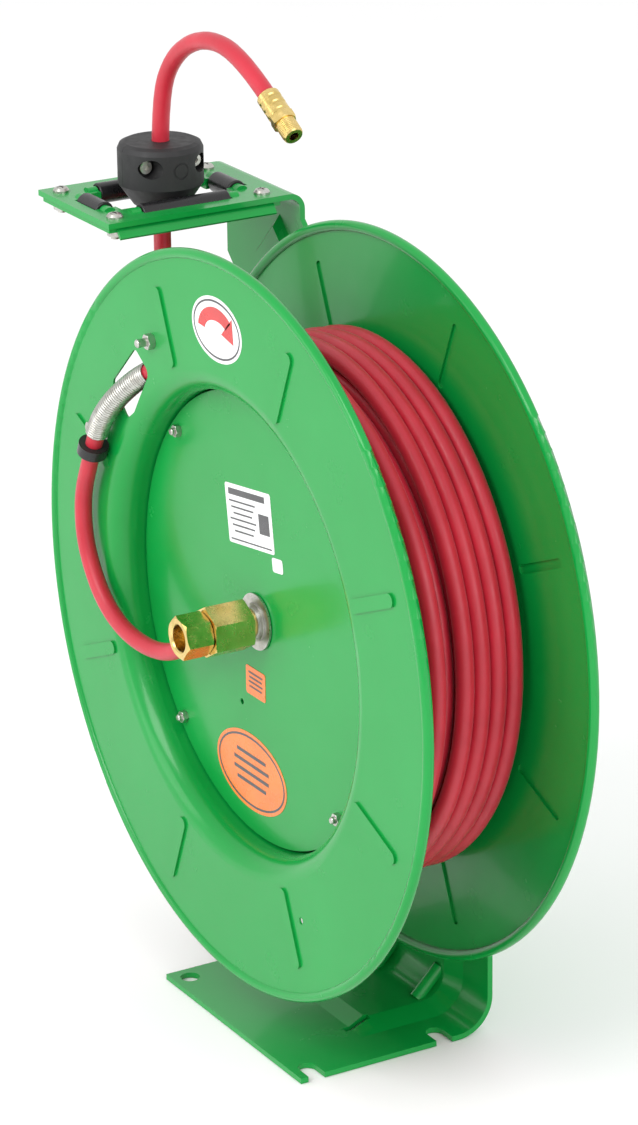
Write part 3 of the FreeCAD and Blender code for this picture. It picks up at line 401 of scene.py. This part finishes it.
def add_marks(name, shapes, y, ink):
    """Flat printed shapes just in front of a label, each a list of (x, height) in mm."""
    mesh = bpy.data.meshes.new(name)
    vertices, faces = [], []
    for shape in shapes:
        start = len(vertices)
        vertices += [(x / 1000, y - 0.00012, axle_z + z / 1000) for x, z in shape]
        faces.append(list(range(start, len(vertices))))
    mesh.from_pydata(vertices, [], faces)
    mesh.materials.append(ink)
    piece = bpy.data.objects.new(name, mesh)
    bpy.context.scene.collection.objects.link(piece)
    thick = piece.modifiers.new("thickness", "SOLIDIFY")
    thick.thickness = 0.0001
    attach(piece, "drum")


def ellipse(centre, width, height, angle):
    turn = math.radians(angle)
    return (centre[0] + width / 2 * math.cos(turn), centre[1] + height / 2 * math.sin(turn))


def ring_strips(centre, width, height, thickness, first=0, last=360, steps=40):
    strips = []
    for i in range(steps):
        a = first + (last - first) * i / steps
        b = first + (last - first) * (i + 1) / steps
        strips.append([ellipse(centre, width, height, a), ellipse(centre, width, height, b),
                       ellipse(centre, width - 2 * thickness, height - 2 * thickness, b),
                       ellipse(centre, width - 2 * thickness, height - 2 * thickness, a)])
    return strips


def bar(centre, x, z, width, height, angle):
    turn = math.radians(angle)
    corners = []
    for i, j in ((-1, -1), (1, -1), (1, 1), (-1, 1)):
        u, v = x + i * width / 2, z + j * height / 2
        corners.append((centre[0] + u * math.cos(turn) - v * math.sin(turn),
                        centre[1] + u * math.sin(turn) + v * math.cos(turn)))
    return corners


def add_label_marks():
    arrow = (-6, 206.5)
    shapes = ring_strips(arrow, 50, 36, 9, 175, 40, 24)
    shapes.append([ellipse(arrow, 58, 44, 44), ellipse(arrow, 46, 30, -8),
                   ellipse(arrow, 18, 4, 44)])
    arrow_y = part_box("arrow_label")[0][1]
    add_marks("arrow_mark", shapes, arrow_y, RED_INK)
    add_marks("arrow_ring", ring_strips((-6, 209.5), 63, 40, 1.4), arrow_y, DARK_INK)

    plate = (-8.4, 72)
    rows = [bar(plate, -2, 15.5, 50, 4.5, 8)]
    rows += [bar(plate, -9, 9 - 4.2 * i, 36 - 5 * (i % 3), 1.2, 8) for i in range(6)]
    rows += [bar(plate, 20, -2, 14, 14, 8), bar(plate, 0, -18, 56, 1.0, 8)]
    label_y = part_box("data_labels")[0][1]
    add_marks("plate_marks", rows, label_y, DARK_INK)

    oval = (-12, -115.6)
    shapes = ring_strips(oval, 92, 52, 1.6)
    shapes += [bar(oval, 0, 12 - 7 * i, 52 - 8 * abs(i - 1.5), 2.6, 0) for i in range(4)]
    square = (-4, -47)
    shapes += [bar(square, 0, 6 - 3.4 * i, 19 - 2 * (i % 2), 1.3, 0) for i in range(4)]
    orange_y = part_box("orange_labels")[0][1]
    add_marks("orange_marks", shapes, orange_y, DARK_INK)


# --------------------------------------------------------------------- floor and lights

def add_floor():
    mesh = bpy.data.meshes.new("floor")
    size = 6
    mesh.from_pydata([(-size, -size, 0), (size, -size, 0), (size, size, 0), (-size, size, 0)],
                     [], [(0, 1, 2, 3)])
    floor = bpy.data.objects.new("floor", mesh)
    bpy.context.scene.collection.objects.link(floor)
    floor.location.z = -0.0005
    n = Nodes("floor")
    n.set(Base_Color=n.ramp(n.noise(2), (0.3, 0.93), (0.7, 0.95)), Roughness=0.7)
    mesh.materials.append(n.material)


def add_light(name, place, size, power, target=(0, 0, 0.3)):
    light = bpy.data.lights.new(name, "AREA")
    light.shape = "RECTANGLE"
    light.size, light.size_y = size
    light.energy = power
    piece = bpy.data.objects.new(name, light)
    bpy.context.scene.collection.objects.link(piece)
    piece.location = place
    piece.rotation_euler = (Vector(place) - Vector(target)).to_track_quat("Z", "Y").to_euler()


def add_lighting():
    world = bpy.data.worlds.new("studio")
    bpy.context.scene.world = world
    world.use_nodes = True
    backdrop = world.node_tree.nodes["Background"]
    backdrop.inputs["Color"].default_value = (1, 1, 1, 1)
    backdrop.inputs["Strength"].default_value = 1.0
    add_light("key", (0.6, -2.2, 2.2), (1.6, 1.6), 42)
    add_light("side", (2.6, 0.2, 1.4), (1.4, 2.0), 22)
    add_light("front", (-1.2, -2.6, 0.8), (1.2, 1.8), 14)
    bpy.context.scene.view_settings.view_transform = "Standard"


add_camera()
port_turn = math.radians(30)
drum_hose = add_drum_hose(on_reel(-FERRULE_END * math.cos(port_turn), -FERRULE_END / 2,
                                  SWIVEL_PORT_DEPTH))
add_lead_hose()
add_spring_guard(drum_hose)
add_threads()
paint_nodes()
add_label_marks()
add_floor()
add_lighting()

bpy.context.view_layer.update()
